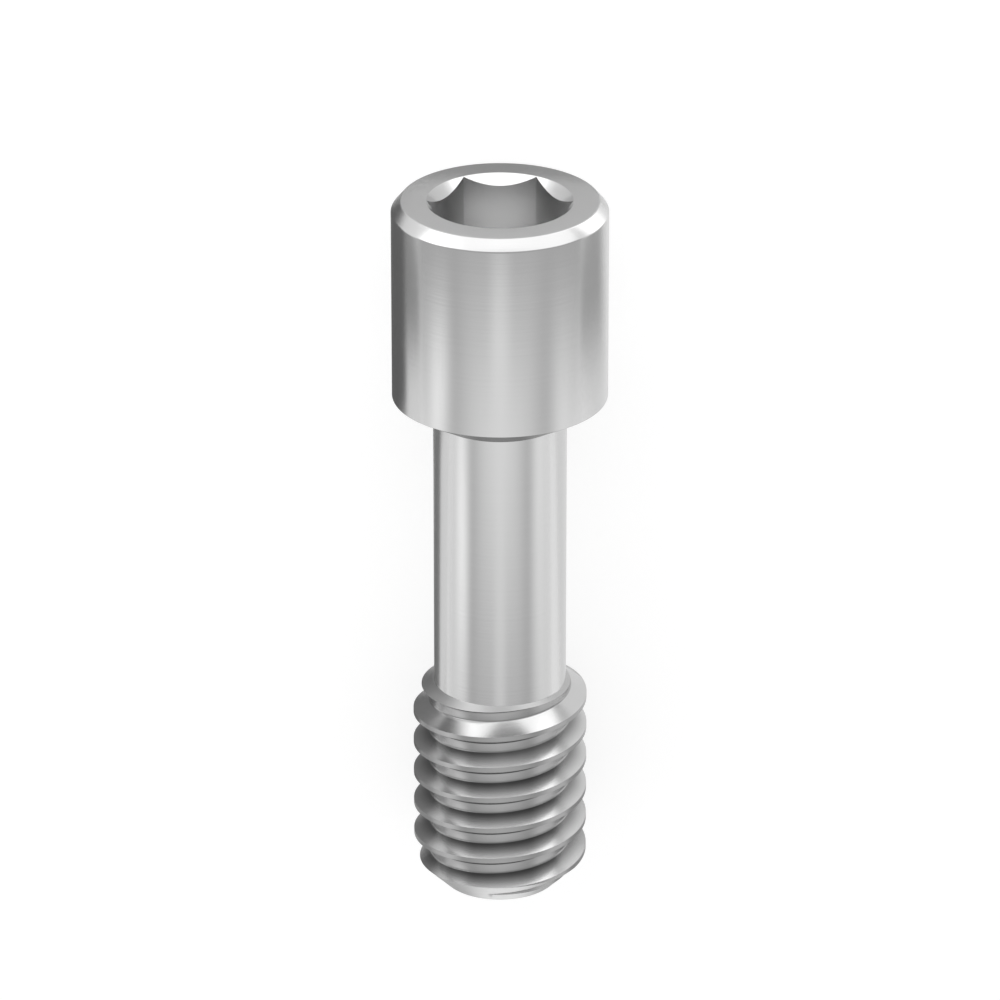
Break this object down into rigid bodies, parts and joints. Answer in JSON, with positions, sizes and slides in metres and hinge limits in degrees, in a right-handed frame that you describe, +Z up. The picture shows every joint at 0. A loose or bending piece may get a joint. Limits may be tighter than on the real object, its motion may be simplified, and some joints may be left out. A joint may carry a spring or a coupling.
{
  "type": "dental abutment screw",
  "caption": "Slim one-piece titanium screw with a cylindrical hexagon-socket head, conical seat, plain shank and short fine right-hand thread, lying on its side.",
  "frame": {"origin": "centre of the base of the bounding box, on the surface that the screw lies on", "axes": "+Y towards the head, along the screw but for the 2.25 degrees by which its axis rises to the larger head; +Z up; +X to the side"},
  "size_m": [0.0022, 0.0076, 0.0023],
  "materials": {
    "titanium_alloy": "satin machined"
  },
  "bodies": {
    "root": {"abutment_screw": "titanium_alloy"}
  },
  "joints": []
}
